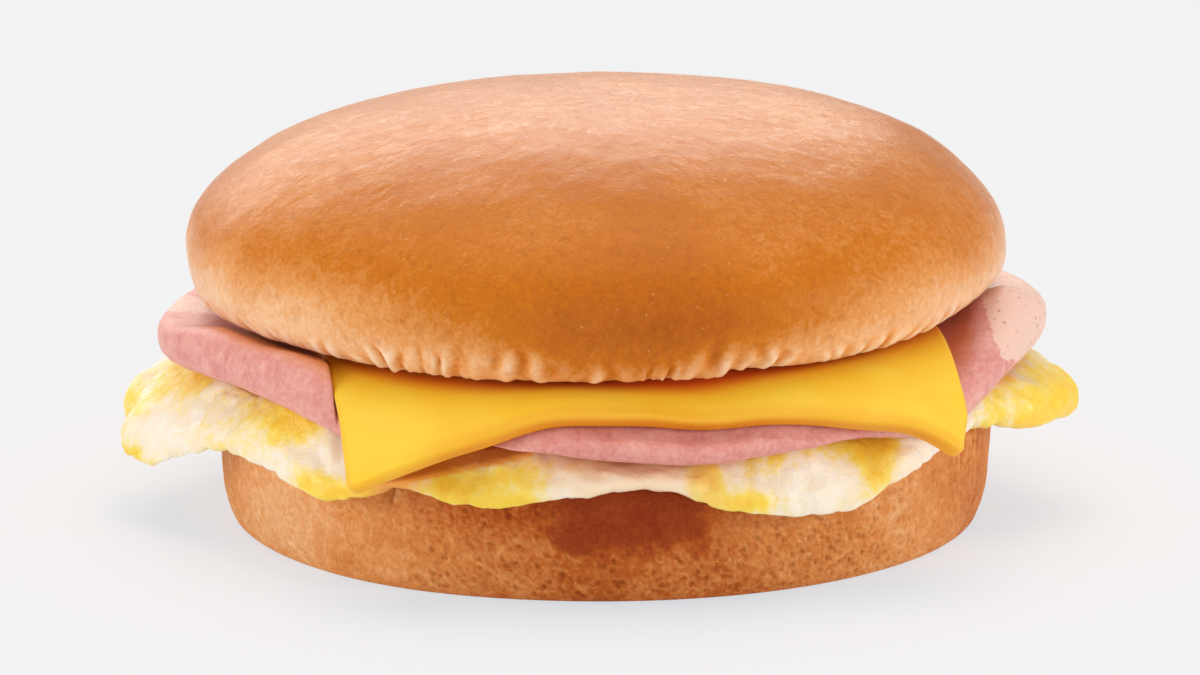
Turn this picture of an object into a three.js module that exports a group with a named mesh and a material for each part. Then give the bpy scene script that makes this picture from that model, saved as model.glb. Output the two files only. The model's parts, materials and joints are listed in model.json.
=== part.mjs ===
// Ham, egg and cheese breakfast sandwich on a soft round bun.
//
// Five stacked pieces, from the bottom: heel (bottom bun), egg (folded whole egg), ham (one round
// slice), cheese (one square slice, its front corners hanging down) and crown (top bun).
// Millimetres. +Z is up and z = 0 is the flat underside of the heel. +X is to the right of the side
// that is served forward, and -Y is that front side. The origin is under the middle of the whole.
import * as THREE from "three";

// ---------------------------------------------------------------- driving dimensions
const GAP = 0.4; // clear space kept between two pieces that rest on each other

const HEEL = { x: 0.6, y: 0, radius: 49.2, height: 14.8, foot: 2.2, footRise: 8.5, lip: 1.1 };
const EGG = { radius: 53.5, thick: 5.8, edge: 2.6, supportRadius: 47.4, shoulder: 41 };
const HAM = { radius: 54.6, thick: 3.7, edge: 1.5, shoulder: 41 };
const CHEESE = { x: 2.1, y: -12.75, side: 77.9, thick: 2.1, turn: 9.2, corner: 1.3, bend: 0.08 };
const CROWN = {
  x: -0.7, y: 0, radius: 52.2, rim: 47.4, base: 28.3, tilt: 0.012, domeTilt: 0.004, equator: 34.0,
  top: 52.8, squareness: 2.33,
};

// ---------------------------------------------------------------- small helpers
const rad = (d) => (d * Math.PI) / 180;
const turnTo = (a, b) => Math.atan2(Math.sin(a - b), Math.cos(a - b));
// A smooth bump round the rim: 1 at the angle `at`, fading over `width` degrees.
const bump = (th, at, width) => Math.exp(-((turnTo(th, rad(at)) / rad(width)) ** 2));
const ease = (t) => (t <= 0 ? 0 : t >= 1 ? 1 : t * t * (3 - 2 * t));
// Sum of [angle, width, height] bumps.
const lobes = (th, list) => list.reduce((s, [at, w, h]) => s + h * bump(th, at, w), 0);

// ---------------------------------------------------------------- buns
const heelRadius = (th) =>
  HEEL.radius * (1 + 0.003 * Math.cos(2 * th - 0.4) + 0.003 * Math.cos(3 * th + 1.3));

const crownRadius = (th) =>
  CROWN.radius * (1 + 0.003 * Math.cos(2 * th - 0.2) + 0.002 * Math.cos(3 * th + 0.9));

// Height of the crown's cut face, which lies a little higher at the right.
const crownBase = (x) => CROWN.base + CROWN.tilt * x;

// The rim of the crown lifts off the slices at the left, and more at the right.
const crownLift = (th) => lobes(th, [[347, 19, 1.75], [216, 26, 0.75]]);

// Height of the underside of the crown, which curves up outside its flat cut face.
const crownUnder = (x, y) => {
  const r = Math.hypot(x - CROWN.x, y) - 0.5;
  const c = 1 - (crownRadius(Math.atan2(y, x)) - r) / (CROWN.radius - CROWN.rim);
  const s = Math.sqrt(1 - Math.min(1, Math.max(0, c)) ** 2);
  const lift = 0.9 * crownLift(Math.atan2(y, x)) * Math.min(1, Math.max(0, (r - 43) / 4.4));
  return crownBase(x) + (CROWN.equator - CROWN.base) * (1 - s) + lift;
};

// ---------------------------------------------------------------- cheese
// Height of the middle of the slice. It lies flat on the ham and bends down past the shoulder of
// the stack, a little sooner at the middle of the front, where it also falls into one short wave.
const cheeseDistance = (x, y) => {
  const start = 44.6 - 2 * bump(Math.atan2(y, x), 278, 22);
  return Math.max(0, Math.hypot(x, y) - start);
};
const cheeseMid = (x, y) => {
  const th = Math.atan2(y, x);
  const d = cheeseDistance(x, y);
  const bend = CHEESE.bend * (1 - 0.26 * bump(th, 231, 12) - 0.3 * bump(th, 316, 6));
  const wave = 1.7 * bump(th, 285, 7) - 1.35 * bump(th, 264, 7);
  return crownBase(x) - GAP - CHEESE.thick / 2 - (bend * d * d) / 2 - wave * ease(d / 11);
};
const cheeseUnder = (x, y) => {
  const k = 0.2 / Math.max(Math.hypot(x, y), 1e-6);
  const slope = (cheeseMid(x * (1 + k), y * (1 + k)) - cheeseMid(x * (1 - k), y * (1 - k))) / 0.4;
  return cheeseMid(x, y) - (CHEESE.thick / 2) * Math.hypot(1, slope);
};

// Place on the plan of a point of the slice, and back.
const cheeseTurn = [Math.cos(rad(CHEESE.turn)), Math.sin(rad(CHEESE.turn))];
const cheesePlan = (u, v) => {
  const [ct, st] = cheeseTurn;
  return [CHEESE.x + u * ct - v * st, CHEESE.y + u * st + v * ct];
};
const cheeseLocal = (x, y) => {
  const [ct, st] = cheeseTurn;
  return [(x - CHEESE.x) * ct + (y - CHEESE.y) * st, (y - CHEESE.y) * ct - (x - CHEESE.x) * st];
};

// Each point keeps its place along the front edge, and is drawn back as it falls, so that the sheet
// keeps its length from back to front.
const cheeseDrawn = (u, v) => {
  const steps = 60;
  const sign = Math.sign(v);
  const d = Math.abs(v) / steps;
  let at = 0;
  for (let i = 0; i < steps; i++) {
    const [x0, y0] = cheesePlan(u, sign * at);
    const [x1, y1] = cheesePlan(u, sign * (at + d));
    at += d / Math.hypot(1, (cheeseMid(x1, y1) - cheeseMid(x0, y0)) / Math.max(d, 1e-6));
  }
  return sign * at;
};

// Height that the slice leaves free below it, and beside it, where the ham may rise again.
const frontEdge = Array.from({ length: 79 }, (_, i) =>
  cheeseDrawn((i / 39 - 1) * (CHEESE.side / 2), -CHEESE.side / 2));
const cheesePress = (x, y) => {
  const half = CHEESE.side / 2;
  const [u, v] = cheeseLocal(x, y);
  const uc = Math.min(half, Math.max(-half, u));
  const at = (uc / half + 1) * 39;
  const k = Math.min(77, Math.floor(at));
  const front = frontEdge[k] + (frontEdge[k + 1] - frontEdge[k]) * (at - k);
  const vc = Math.min(half, Math.max(front, v));
  const aside = Math.max(Math.abs(u) - half, v - half);
  const rise = 1.0 * Math.max(0, aside - 1.9) + 0.12 * Math.max(0, front - v);
  return cheeseUnder(...cheesePlan(uc, vc)) - 1.3 * GAP + rise;
};

// ---------------------------------------------------------------- ham
const hamRadius = (th) =>
  HAM.radius +
  lobes(th, [
    [184, 16, 1.8], [238, 12, -1.2], [249, 6, -2.4], [278, 24, -0.5], [0, 17, 2.3], [322, 12, -0.8],
    [70, 18, -1.6], [105, 15, 1.4], [145, 15, -0.5],
  ]);

// How far the rim of the ham hangs below the flat middle. The front sags, and the ham lifts off
// the egg at the left and right.
const hamDrop = (th) =>
  -0.55 +
  lobes(th, [
    [188, 12, 0.7], [211, 13, -0.55], [236, 11, 2.6], [283, 23, 3.6], [323, 15, 4.3],
    [352, 18, -0.5], [20, 20, -1.6], [90, 34, 1.4],
  ]);

const hamThick = (th) =>
  HAM.thick + lobes(th, [[206, 17, 2.5], [229, 11, 3.4], [282, 26, 1.9], [340, 28, 1.6]]);

const hamBottom = (r, th) =>
  HEEL.height + GAP + EGG.thick + GAP - hamDrop(th) * ease((r - HAM.shoulder) / 12.5);

const hamTop = (r, th) => {
  const x = r * Math.cos(th);
  const y = r * Math.sin(th);
  // a hump at the right, right outside the rim of the crown
  const hump = 3.3 * bump(th, 350, 11) * ease((r - 40) / 10) * (1 - 0.45 * ease((r - 51.5) / 4));
  const free = hamBottom(r, th) + HAM.thick + (hamThick(th) - HAM.thick) * ease((r - 40) / 12) + hump;
  return Math.min(free, cheesePress(x, y), crownUnder(x, y) - GAP);
};

// ---------------------------------------------------------------- egg
// The rim of the egg runs out in lobes.
const eggRadius = (th) =>
  EGG.radius +
  lobes(th, [
    [183, 17, 7.1], [220, 14, 0.8], [329, 13, -1.7], [358, 14, 7.8], [62, 15, 3.4], [118, 13, 2.9],
  ]);

// Short waves of the rim, which lift or lower it as a whole.
const eggFolds = (th) =>
  lobes(th, [
    [186, 6, -0.6], [196, 5, 0.7], [231, 20, -0.75], [242.4, 3.6, -1.9], [262, 6, 0.5],
    [285.5, 4.5, 1.0], [296, 3.5, 0.7], [305.5, 4, 1.3], [314, 9, 1.15], [352, 8, -0.45],
  ]);

// How far the underside of the rim hangs below the heel's cut face.
const eggHang = (th) =>
  1.35 +
  eggFolds(th) +
  lobes(th, [
    [187, 14, 8.0], [199, 8, 1.0], [230, 12, 4.8], [254, 10, 2.4], [277, 9, -2.1], [300, 17, 4.8],
    [335, 6, -1.6], [357, 12, 2.4], [62, 15, 1.2], [118, 14, 1.8], [90, 11, -0.6],
  ]);

// Thickness of the rim.
const eggRim = (th) =>
  5.0 +
  eggFolds(th) +
  lobes(th, [
    [184, 16, 2.0], [229, 12, 2.0], [254, 9, -0.4], [277, 9, -2.2], [304, 15, 1.6], [357, 13, 1.2],
    [62, 12, 1.2], [118, 12, 0.8],
  ]);

const eggBottom = (r, th) => {
  const t = (r - EGG.supportRadius) / (eggRadius(th) - EGG.supportRadius);
  return HEEL.height + GAP - (t > 0 ? eggHang(th) * t * t : 0);
};

const eggTop = (r, th) => {
  const R = eggRadius(th);
  const drop = hamDrop(th) * (hamDrop(th) > 0 ? 1 : 0.4);
  const under = HEEL.height + GAP + EGG.thick - drop * ease((r - HAM.shoulder) / 12.5);
  const rim = HEEL.height + GAP - eggHang(th) + eggRim(th);
  return under - Math.max(0, under - rim) * ease((r - 50) / (R - 50));
};

// ---------------------------------------------------------------- mesh builders
function meshOf(name, positions, triangles, colour, roughness) {
  const g = new THREE.BufferGeometry();
  g.setAttribute("position", new THREE.Float32BufferAttribute(positions, 3));
  g.setIndex(triangles);
  g.computeVertexNormals();
  const m = new THREE.Mesh(g, new THREE.MeshStandardMaterial({ color: colour, roughness, metalness: 0 }));
  m.name = name;
  return m;
}

// A closed body made of rings round the Z axis, from the middle of the top to the middle of the
// underside. Each ring is a function of the angle that gives [radius, height].
function ringBody(name, rings, top, bottom, around, cx, cy, colour, roughness) {
  const p = [cx, cy, top];
  for (const ring of rings)
    for (let j = 0; j < around; j++) {
      const th = (j / around) * 2 * Math.PI;
      const [r, z] = ring(th);
      p.push(cx + r * Math.cos(th), cy + r * Math.sin(th), z);
    }
  p.push(cx, cy, bottom);
  const last = 1 + rings.length * around;
  const at = (i, j) => 1 + i * around + (j % around);
  const t = [];
  for (let j = 0; j < around; j++) {
    t.push(0, at(0, j), at(0, j + 1));
    for (let i = 0; i + 1 < rings.length; i++)
      t.push(at(i, j), at(i + 1, j), at(i + 1, j + 1), at(i, j), at(i + 1, j + 1), at(i, j + 1));
    t.push(last, at(rings.length - 1, j + 1), at(rings.length - 1, j));
  }
  return meshOf(name, p, t, colour, roughness);
}

// A slab of food with a rounded rim, between two height functions of radius and angle.
const INNER = [17, 32, 40.5, 44, 47.4];
function slabRings(radius, top, bottom, edge) {
  const last = INNER[INNER.length - 1];
  const inner = INNER.map((r) => () => r);
  for (const f of [0.33, 0.68]) inner.push((th) => last + f * (radius(th) - edge - last));
  const rings = inner.map((f) => (th) => [f(th), top(f(th), th)]);
  for (const phi of [90, 54, 18, -18, -54, -90]) {
    const c = Math.cos(rad(phi));
    const s = Math.sin(rad(phi));
    rings.push((th) => {
      const r = radius(th) - edge + edge * c;
      const hi = top(r, th);
      const lo = bottom(r, th);
      return [r, (hi + lo) / 2 + ((hi - lo) / 2) * s];
    });
  }
  for (const f of inner.reverse()) rings.push((th) => [f(th), bottom(f(th), th)]);
  return rings;
}

// ---------------------------------------------------------------- heel
function heel() {
  const rings = [];
  for (const f of [0.5, 0.9]) rings.push((th) => [f * heelRadius(th), HEEL.height]);
  rings.push((th) => [heelRadius(th) - HEEL.lip, HEEL.height]);
  rings.push((th) => [heelRadius(th), HEEL.height - HEEL.lip]);
  for (const a of [0, 22.5, 45, 67.5, 90]) {
    const z = HEEL.footRise * (1 - Math.sin(rad(a)));
    // the foot swells a little at the front left
    rings.push((th) => [
      heelRadius(th) - HEEL.foot * (1 - Math.cos(rad(a))) - 0.3 + 0.6 * bump(th, 235, 20) * (1 - ease(z / 7)),
      z,
    ]);
  }
  rings.push((th) => [0.5 * heelRadius(th), 0]);
  return ringBody("heel", rings, HEEL.height, 0, 48, HEEL.x, HEEL.y, 0xb9702f, 0.8);
}

// ---------------------------------------------------------------- crown
function crown() {
  const c = CROWN;
  const rings = [];
  // the cut face lies a little higher at the right than at the left, and the dome less so
  const tiltOf = (r, th, tilt = c.tilt) => tilt * (c.x + r * Math.cos(th));
  for (const a of [5, 11, 18, 27, 37, 48, 60, 71, 81, 90]) {
    const cr = Math.sin(rad(a)) ** (2 / c.squareness);
    const cz = Math.cos(rad(a)) ** (2 / c.squareness);
    rings.push((th) => {
      const r = crownRadius(th) * cr;
      return [r, c.equator + (c.top - c.equator) * cz + tiltOf(r, th, c.domeTilt)];
    });
  }
  for (const a of [30, 60, 90]) {
    const s = Math.sin(rad(a));
    const q = 1 - Math.cos(rad(a));
    rings.push((th) => {
      const r = crownRadius(th) - (c.radius - c.rim) * q;
      const tilt = tiltOf(r, th, c.domeTilt + (c.tilt - c.domeTilt) * s);
      return [r, c.equator - (c.equator - c.base) * s + tilt + crownLift(th) * s * s];
    });
  }
  for (const f of [0.9, 0.5])
    rings.push((th) => [f * c.rim, c.base + tiltOf(f * c.rim, th) + (f > 0.8 ? 0.15 * crownLift(th) : 0)]);
  return ringBody("crown", rings, c.top + c.domeTilt * c.x, c.base + c.tilt * c.x, 56, c.x, c.y, 0xcf7f35, 0.5);
}

// ---------------------------------------------------------------- cheese
// A square sheet, cut a little short at its right front corner.
function cheese() {
  const c = CHEESE;
  const n = 18;
  const half = c.side / 2;
  const point = (i, j) => {
    // evenly spaced, but closer at the edges, with rounded corners
    const spread = (k) => half * Math.sin(((k / n) * 2 - 1) * 1.2) / Math.sin(1.2);
    let u = spread(i);
    let v = spread(j);
    const over = Math.min(Math.abs(u), Math.abs(v)) - (half - c.corner);
    if (over > 0) {
      const pull = 1 - (0.29 * over) / Math.max(Math.abs(u), Math.abs(v));
      u *= pull;
      v *= pull;
    }
    const near = ease((-v - 30) / 9);
    u -= 1.25 * near * ease((u - 20) / 19);
    v += 0.5 * near * ease((u - 33) / 6);
    const [x, y] = cheesePlan(u, cheeseDrawn(u, v));
    return new THREE.Vector3(x, y, cheeseMid(x, y));
  };
  const pts = [];
  for (let i = 0; i <= n; i++) for (let j = 0; j <= n; j++) pts.push(point(i, j));
  const at = (i, j) => i * (n + 1) + j;
  const normals = pts.map((_, k) => {
    const i = Math.floor(k / (n + 1));
    const j = k % (n + 1);
    const du = pts[at(Math.min(i + 1, n), j)].clone().sub(pts[at(Math.max(i - 1, 0), j)]);
    const dv = pts[at(i, Math.min(j + 1, n))].clone().sub(pts[at(i, Math.max(j - 1, 0))]);
    return du.cross(dv).normalize();
  });
  const p = [];
  for (const side of [0.5, -0.5])
    pts.forEach((q, k) => {
      const s = q.clone().addScaledVector(normals[k], side * c.thick);
      p.push(s.x, s.y, s.z);
    });
  const lower = pts.length;
  const t = [];
  for (let i = 0; i < n; i++)
    for (let j = 0; j < n; j++) {
      t.push(at(i, j), at(i + 1, j), at(i + 1, j + 1), at(i, j), at(i + 1, j + 1), at(i, j + 1));
      t.push(lower + at(i, j), lower + at(i + 1, j + 1), lower + at(i + 1, j));
      t.push(lower + at(i, j), lower + at(i, j + 1), lower + at(i + 1, j + 1));
    }
  const edge = [];
  for (let i = 0; i < n; i++) edge.push([at(i, 0), at(i + 1, 0)]);
  for (let j = 0; j < n; j++) edge.push([at(n, j), at(n, j + 1)]);
  for (let i = n; i > 0; i--) edge.push([at(i, n), at(i - 1, n)]);
  for (let j = n; j > 0; j--) edge.push([at(0, j), at(0, j - 1)]);
  for (const [a, b] of edge) t.push(a, lower + a, b, b, lower + a, lower + b);
  return meshOf("cheese", p, t, 0xf6b62a, 0.35);
}

// ---------------------------------------------------------------- the sandwich
const sandwich = new THREE.Group();
sandwich.name = "breakfast_sandwich";
sandwich.add(heel());
sandwich.add(
  ringBody("egg", slabRings(eggRadius, eggTop, eggBottom, EGG.edge), eggTop(0, 0), eggBottom(0, 0),
    64, 0, 0, 0xf7e08a, 0.45),
);
sandwich.add(
  ringBody("ham", slabRings(hamRadius, hamTop, hamBottom, HAM.edge), hamTop(0, 0), hamBottom(0, 0),
    80, 0, 0, 0xdf938c, 0.45),
);
sandwich.add(cheese());
sandwich.add(crown());

export default sandwich;
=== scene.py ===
import bpy
import json
import math
import numpy as np
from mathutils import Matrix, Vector

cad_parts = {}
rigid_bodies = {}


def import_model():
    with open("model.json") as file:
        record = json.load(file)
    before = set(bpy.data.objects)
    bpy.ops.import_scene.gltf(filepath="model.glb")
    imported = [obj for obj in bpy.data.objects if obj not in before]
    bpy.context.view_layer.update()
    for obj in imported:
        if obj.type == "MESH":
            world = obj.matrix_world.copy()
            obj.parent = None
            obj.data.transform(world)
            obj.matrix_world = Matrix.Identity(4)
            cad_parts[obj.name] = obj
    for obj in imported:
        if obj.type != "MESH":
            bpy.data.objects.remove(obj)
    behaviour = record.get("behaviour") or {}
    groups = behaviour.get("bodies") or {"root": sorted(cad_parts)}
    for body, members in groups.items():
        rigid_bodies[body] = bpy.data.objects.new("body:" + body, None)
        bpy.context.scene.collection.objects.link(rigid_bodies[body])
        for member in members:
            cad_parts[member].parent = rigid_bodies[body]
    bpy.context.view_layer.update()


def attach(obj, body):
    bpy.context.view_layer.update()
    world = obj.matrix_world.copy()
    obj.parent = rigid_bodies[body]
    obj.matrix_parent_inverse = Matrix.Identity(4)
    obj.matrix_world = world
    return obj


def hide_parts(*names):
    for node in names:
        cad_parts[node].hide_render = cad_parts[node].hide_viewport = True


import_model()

# ------------------------------------------------------------------ dimensions, in millimetres
# The same sizes and formulas as the CAD model, with the fine surface added on top.
GAP = 0.4
HEEL = dict(x=0.6, y=0.0, radius=49.2, height=14.8, foot=2.2, rise=8.5, lip=1.1)
EGG = dict(radius=53.5, thick=5.8, edge=2.6, support=47.4)
HAM = dict(radius=54.6, thick=3.7, edge=1.5, shoulder=41.0)
CHEESE = dict(x=2.1, y=-12.75, side=77.9, thick=2.1, turn=math.radians(9.2), corner=0.7, bend=0.08)
CROWN = dict(x=-0.7, y=0.0, radius=52.2, rim=47.4, base=28.3, tilt=0.012, dome_tilt=0.004,
             equator=34.0, top=52.8, square=2.33)


def bump(th, at, width):
    d = np.arctan2(np.sin(th - math.radians(at)), np.cos(th - math.radians(at)))
    return np.exp(-(d / math.radians(width)) ** 2)


def ease(t):
    t = np.clip(t, 0.0, 1.0)
    return t * t * (3 - 2 * t)


def lobes(th, items):
    s = 0.0
    for at, w, h in items:
        s = s + h * bump(th, at, w)
    return s


def heel_radius(th):
    return HEEL["radius"] * (1 + 0.003 * np.cos(2 * th - 0.4) + 0.003 * np.cos(3 * th + 1.3))


def crown_radius(th):
    return CROWN["radius"] * (1 + 0.003 * np.cos(2 * th - 0.2) + 0.002 * np.cos(3 * th + 0.9))


def crown_base(x):
    return CROWN["base"] + CROWN["tilt"] * x


def crown_lift(th):
    """The rim of the crown lifts off the slices at the left, and more at the right."""
    return lobes(th, [(347, 19, 1.75), (216, 26, 0.75)])


def crown_under(x, y):
    """Height of the underside of the crown, which curves up outside its flat cut face."""
    r = np.hypot(x - CROWN["x"], y) - 0.5
    c = np.clip(1 - (crown_radius(np.arctan2(y, x)) - r) / (CROWN["radius"] - CROWN["rim"]), 0, 1)
    lift = 0.9 * crown_lift(np.arctan2(y, x)) * np.clip((r - 43) / 4.4, 0, 1)
    return crown_base(x) + (CROWN["equator"] - CROWN["base"]) * (1 - np.sqrt(1 - c * c)) + lift


def cheese_distance(x, y):
    start = 44.6 - 2.0 * bump(np.arctan2(y, x), 278, 22)
    return np.maximum(0, np.hypot(x, y) - start)


def cheese_mid(x, y):
    th = np.arctan2(y, x)
    d = cheese_distance(x, y)
    bend = CHEESE["bend"] * (1 - 0.26 * bump(th, 231, 12) - 0.30 * bump(th, 312, 6))
    wave = 1.7 * bump(th, 285, 7) - 1.35 * bump(th, 264, 7)
    return crown_base(x) - GAP - CHEESE["thick"] / 2 - bend * d ** 2 / 2 - wave * ease(d / 11)


def cheese_under(x, y):
    r = np.maximum(np.hypot(x, y), 1e-6)
    e = 0.2
    slope = (cheese_mid(x * (1 + e / r), y * (1 + e / r)) - cheese_mid(x * (1 - e / r), y * (1 - e / r))) / (2 * e)
    return cheese_mid(x, y) - CHEESE["thick"] / 2 * np.hypot(1, slope)


def cheese_local(x, y):
    ct, st = math.cos(CHEESE["turn"]), math.sin(CHEESE["turn"])
    u = (x - CHEESE["x"]) * ct + (y - CHEESE["y"]) * st
    v = (y - CHEESE["y"]) * ct - (x - CHEESE["x"]) * st
    return u, v


def cheese_plan(u, v):
    ct, st = math.cos(CHEESE["turn"]), math.sin(CHEESE["turn"])
    return CHEESE["x"] + u * ct - v * st, CHEESE["y"] + u * st + v * ct


def cheese_drawn(u, v, steps=120):
    """A point keeps its place along the front edge and is drawn back as it falls, so the sheet keeps its length."""
    sign = np.sign(v)
    run = np.zeros_like(v)
    d = np.abs(v) / steps
    for _ in range(steps):
        x0, y0 = cheese_plan(u, sign * run)
        x1, y1 = cheese_plan(u, sign * (run + d))
        slope = (cheese_mid(x1, y1) - cheese_mid(x0, y0)) / np.maximum(d, 1e-6)
        run = run + d / np.hypot(1, slope)
    return sign * run


def cheese_press(x, y):
    """Height that the slice leaves free below it, and beside it, where the ham may rise again."""
    half = CHEESE["side"] / 2
    u, v = cheese_local(x, y)
    uc = np.clip(u, -half, half)
    table = np.linspace(-half, half, 157)
    front = np.interp(uc, table, cheese_drawn(table, np.full_like(table, -half)))
    vc = np.clip(v, front, half)
    aside = np.maximum(np.abs(u) - half, v - half)
    rise = 14.0 * np.maximum(0, aside) + 0.12 * np.maximum(0, front - v)
    return cheese_under(*cheese_plan(uc, vc)) - GAP + rise


def ham_radius(th):
    return HAM["radius"] + lobes(th, [
        (184, 16, 1.8), (238, 12, -1.2), (249, 6, -2.4), (278, 24, -0.5), (0, 17, 2.3), (322, 12, -0.8),
        (70, 18, -1.6), (105, 15, 1.4), (145, 15, -0.5)])


def ham_drop(th):
    return -0.55 + lobes(th, [
        (188, 12, 0.7), (211, 13, -0.55), (236, 11, 2.6), (283, 23, 3.6), (323, 15, 4.3), (352, 18, -0.5),
        (20, 20, -1.6), (90, 34, 1.4)])


def ham_bottom(r, th):
    top = HEEL["height"] + GAP + EGG["thick"] + GAP
    return top - ham_drop(th) * ease((r - HAM["shoulder"]) / 12.5)


def ham_top(r, th):
    x, y = r * np.cos(th), r * np.sin(th)
    extra = lobes(th, [(206, 17, 2.5), (229, 11, 3.4), (282, 26, 1.9), (340, 28, 1.6)])
    # a hump at the right, right outside the rim of the crown
    hump = 3.3 * bump(th, 350, 11) * ease((r - 40) / 10) * (1 - 0.45 * ease((r - 51.5) / 4))
    free = ham_bottom(r, th) + HAM["thick"] + extra * ease((r - 40) / 12) + hump
    soft = 0.3                                          # the lowest of the three, without a crease between them
    return -soft * np.log(sum(np.exp(-(h - 25) / soft) for h in (free, cheese_press(x, y), crown_under(x, y) - GAP))) + 25


def egg_radius(th):
    return EGG["radius"] + lobes(th, [
        (183, 17, 7.1), (176.5, 4.5, 0.9), (181.5, 2.5, -0.6), (186, 3.5, 0.5), (220, 14, 0.8), (329, 13, -1.7), (358, 14, 7.8), (62, 15, 3.4), (118, 13, 2.9)])


def egg_folds(th):
    """Short waves of the rim, which lift or lower it as a whole."""
    return lobes(th, [
        (186, 6, -0.6), (196, 5, -0.1), (207, 5, 0.6), (231, 20, -0.75), (242.4, 3.6, -1.9), (262, 6, 0.5), (285.5, 4.5, 1.0),
        (296, 3.5, 0.7), (305.5, 4, 1.3), (314, 9, 1.15), (352, 8, -0.45)])


def egg_hang(th):
    return 1.35 + egg_folds(th) + lobes(th, [
        (187, 14, 8.0), (199, 8, 1.0), (230, 12, 4.8), (254, 10, 2.4), (277, 9, -2.1), (300, 17, 4.8),
        (335, 6, -1.6), (357, 12, 2.4), (62, 15, 1.2), (118, 14, 1.8), (90, 11, -0.6)])


def egg_rim(th):
    return 5.0 + egg_folds(th) + lobes(th, [
        (184, 16, 2.0), (229, 12, 2.0), (254, 9, -0.4), (277, 9, -2.2), (304, 15, 1.6), (357, 13, 1.2),
        (62, 12, 1.2), (118, 12, 0.8)])


def egg_bottom(r, th):
    t = np.maximum(0, (r - EGG["support"]) / (egg_radius(th) - EGG["support"]))
    return HEEL["height"] + GAP - egg_hang(th) * t * t


def egg_top(r, th):
    big = egg_radius(th)
    drop = ham_drop(th)
    drop = drop * np.where(drop > 0, 1.0, 0.4)
    under = HEEL["height"] + GAP + EGG["thick"] - drop * ease((r - HAM["shoulder"]) / 12.5)
    rim = HEEL["height"] + GAP - egg_hang(th) + egg_rim(th)
    return under - np.maximum(0, under - rim) * ease((r - 50) / (big - 50))


# ------------------------------------------------------------------ noise
def _hash(ix, iy, iz, seed):
    h = (ix * 73856093) ^ (iy * 19349663) ^ (iz * 83492791) ^ (seed * 2654435761)
    h = h & 0xFFFFFFFF
    h = ((h ^ (h >> 15)) * 2246822519) & 0xFFFFFFFF
    h = ((h ^ (h >> 13)) * 3266489917) & 0xFFFFFFFF
    return h ^ (h >> 16)


_G = np.array([(1, 1, 0), (-1, 1, 0), (1, -1, 0), (-1, -1, 0), (1, 0, 1), (-1, 0, 1), (1, 0, -1),
               (-1, 0, -1), (0, 1, 1), (0, -1, 1), (0, 1, -1), (0, -1, -1)], dtype=np.float64)


def noise(p, seed=0):
    """Gradient noise of about -1 to 1 at points p (..., 3)."""
    i = np.floor(p).astype(np.int64)
    f = p - i
    w = f * f * f * (f * (f * 6 - 15) + 10)
    out = 0.0
    for dx in (0, 1):
        wx = w[..., 0] if dx else 1 - w[..., 0]
        for dy in (0, 1):
            wy = w[..., 1] if dy else 1 - w[..., 1]
            for dz in (0, 1):
                wz = w[..., 2] if dz else 1 - w[..., 2]
                g = _G[_hash(i[..., 0] + dx, i[..., 1] + dy, i[..., 2] + dz, seed) % 12]
                d = g[..., 0] * (f[..., 0] - dx) + g[..., 1] * (f[..., 1] - dy) + g[..., 2] * (f[..., 2] - dz)
                out = out + d * wx * wy * wz
    return out


def fbm(p, size, octaves=3, seed=0, gain=0.5):
    s, a, q = 0.0, 1.0, p / size
    for k in range(octaves):
        s = s + a * noise(q + 17.3 * k, seed + k)
        a *= gain
        q = q * 2.03
    return s


def billow(p, size, octaves=2, seed=0, gain=0.5):
    s, a, q, t = 0.0, 1.0, p / size, 0.0
    for k in range(octaves):
        s = s + a * np.abs(noise(q + 9.1 * k, seed + k))
        t += a
        a *= gain
        q = q * 2.07
    return s / t


def cells(p, size, seed=0):
    """Distance to the nearest scattered point, in units of size."""
    q = p / size
    i = np.floor(q).astype(np.int64)
    best = np.full(q.shape[:-1], 9.0)
    for dx in (-1, 0, 1):
        for dy in (-1, 0, 1):
            for dz in (-1, 0, 1):
                c = i + np.array([dx, dy, dz])
                h = _hash(c[..., 0], c[..., 1], c[..., 2], seed)
                o = np.stack([(h & 1023) / 1023.0, ((h >> 10) & 1023) / 1023.0, ((h >> 20) & 1023) / 1023.0], -1)
                best = np.minimum(best, np.sum((c + o - q) ** 2, -1))
    return np.sqrt(best)


# ------------------------------------------------------------------ mesh helpers
def grid_normals(P):
    """Normals of a (rings, around, 3) grid that closes around."""
    du = np.roll(P, -1, 1) - np.roll(P, 1, 1)
    dv = np.empty_like(P)
    dv[1:-1] = P[2:] - P[:-2]
    dv[0] = P[1] - P[0]
    dv[-1] = P[-1] - P[-2]
    n = np.cross(dv, du)
    n /= np.maximum(np.linalg.norm(n, axis=-1, keepdims=True), 1e-9)
    return n


def make_object(name, verts, quads, tris, attrs, material, node):
    me = bpy.data.meshes.new(name)
    faces = [tuple(q) for q in quads.tolist()] + [tuple(t) for t in tris.tolist()]
    me.from_pydata((verts * 0.001).tolist(), [], faces)
    me.polygons.foreach_set("use_smooth", [True] * len(me.polygons))
    for key, arr in attrs.items():
        a = me.attributes.new(key, "FLOAT", "POINT")
        a.data.foreach_set("value", np.ascontiguousarray(arr, dtype=np.float32))
    me.update()
    me.materials.append(material)
    ob = bpy.data.objects.new(name, me)
    bpy.context.scene.collection.objects.link(ob)
    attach(ob, "root")
    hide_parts(node)
    return ob


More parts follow.
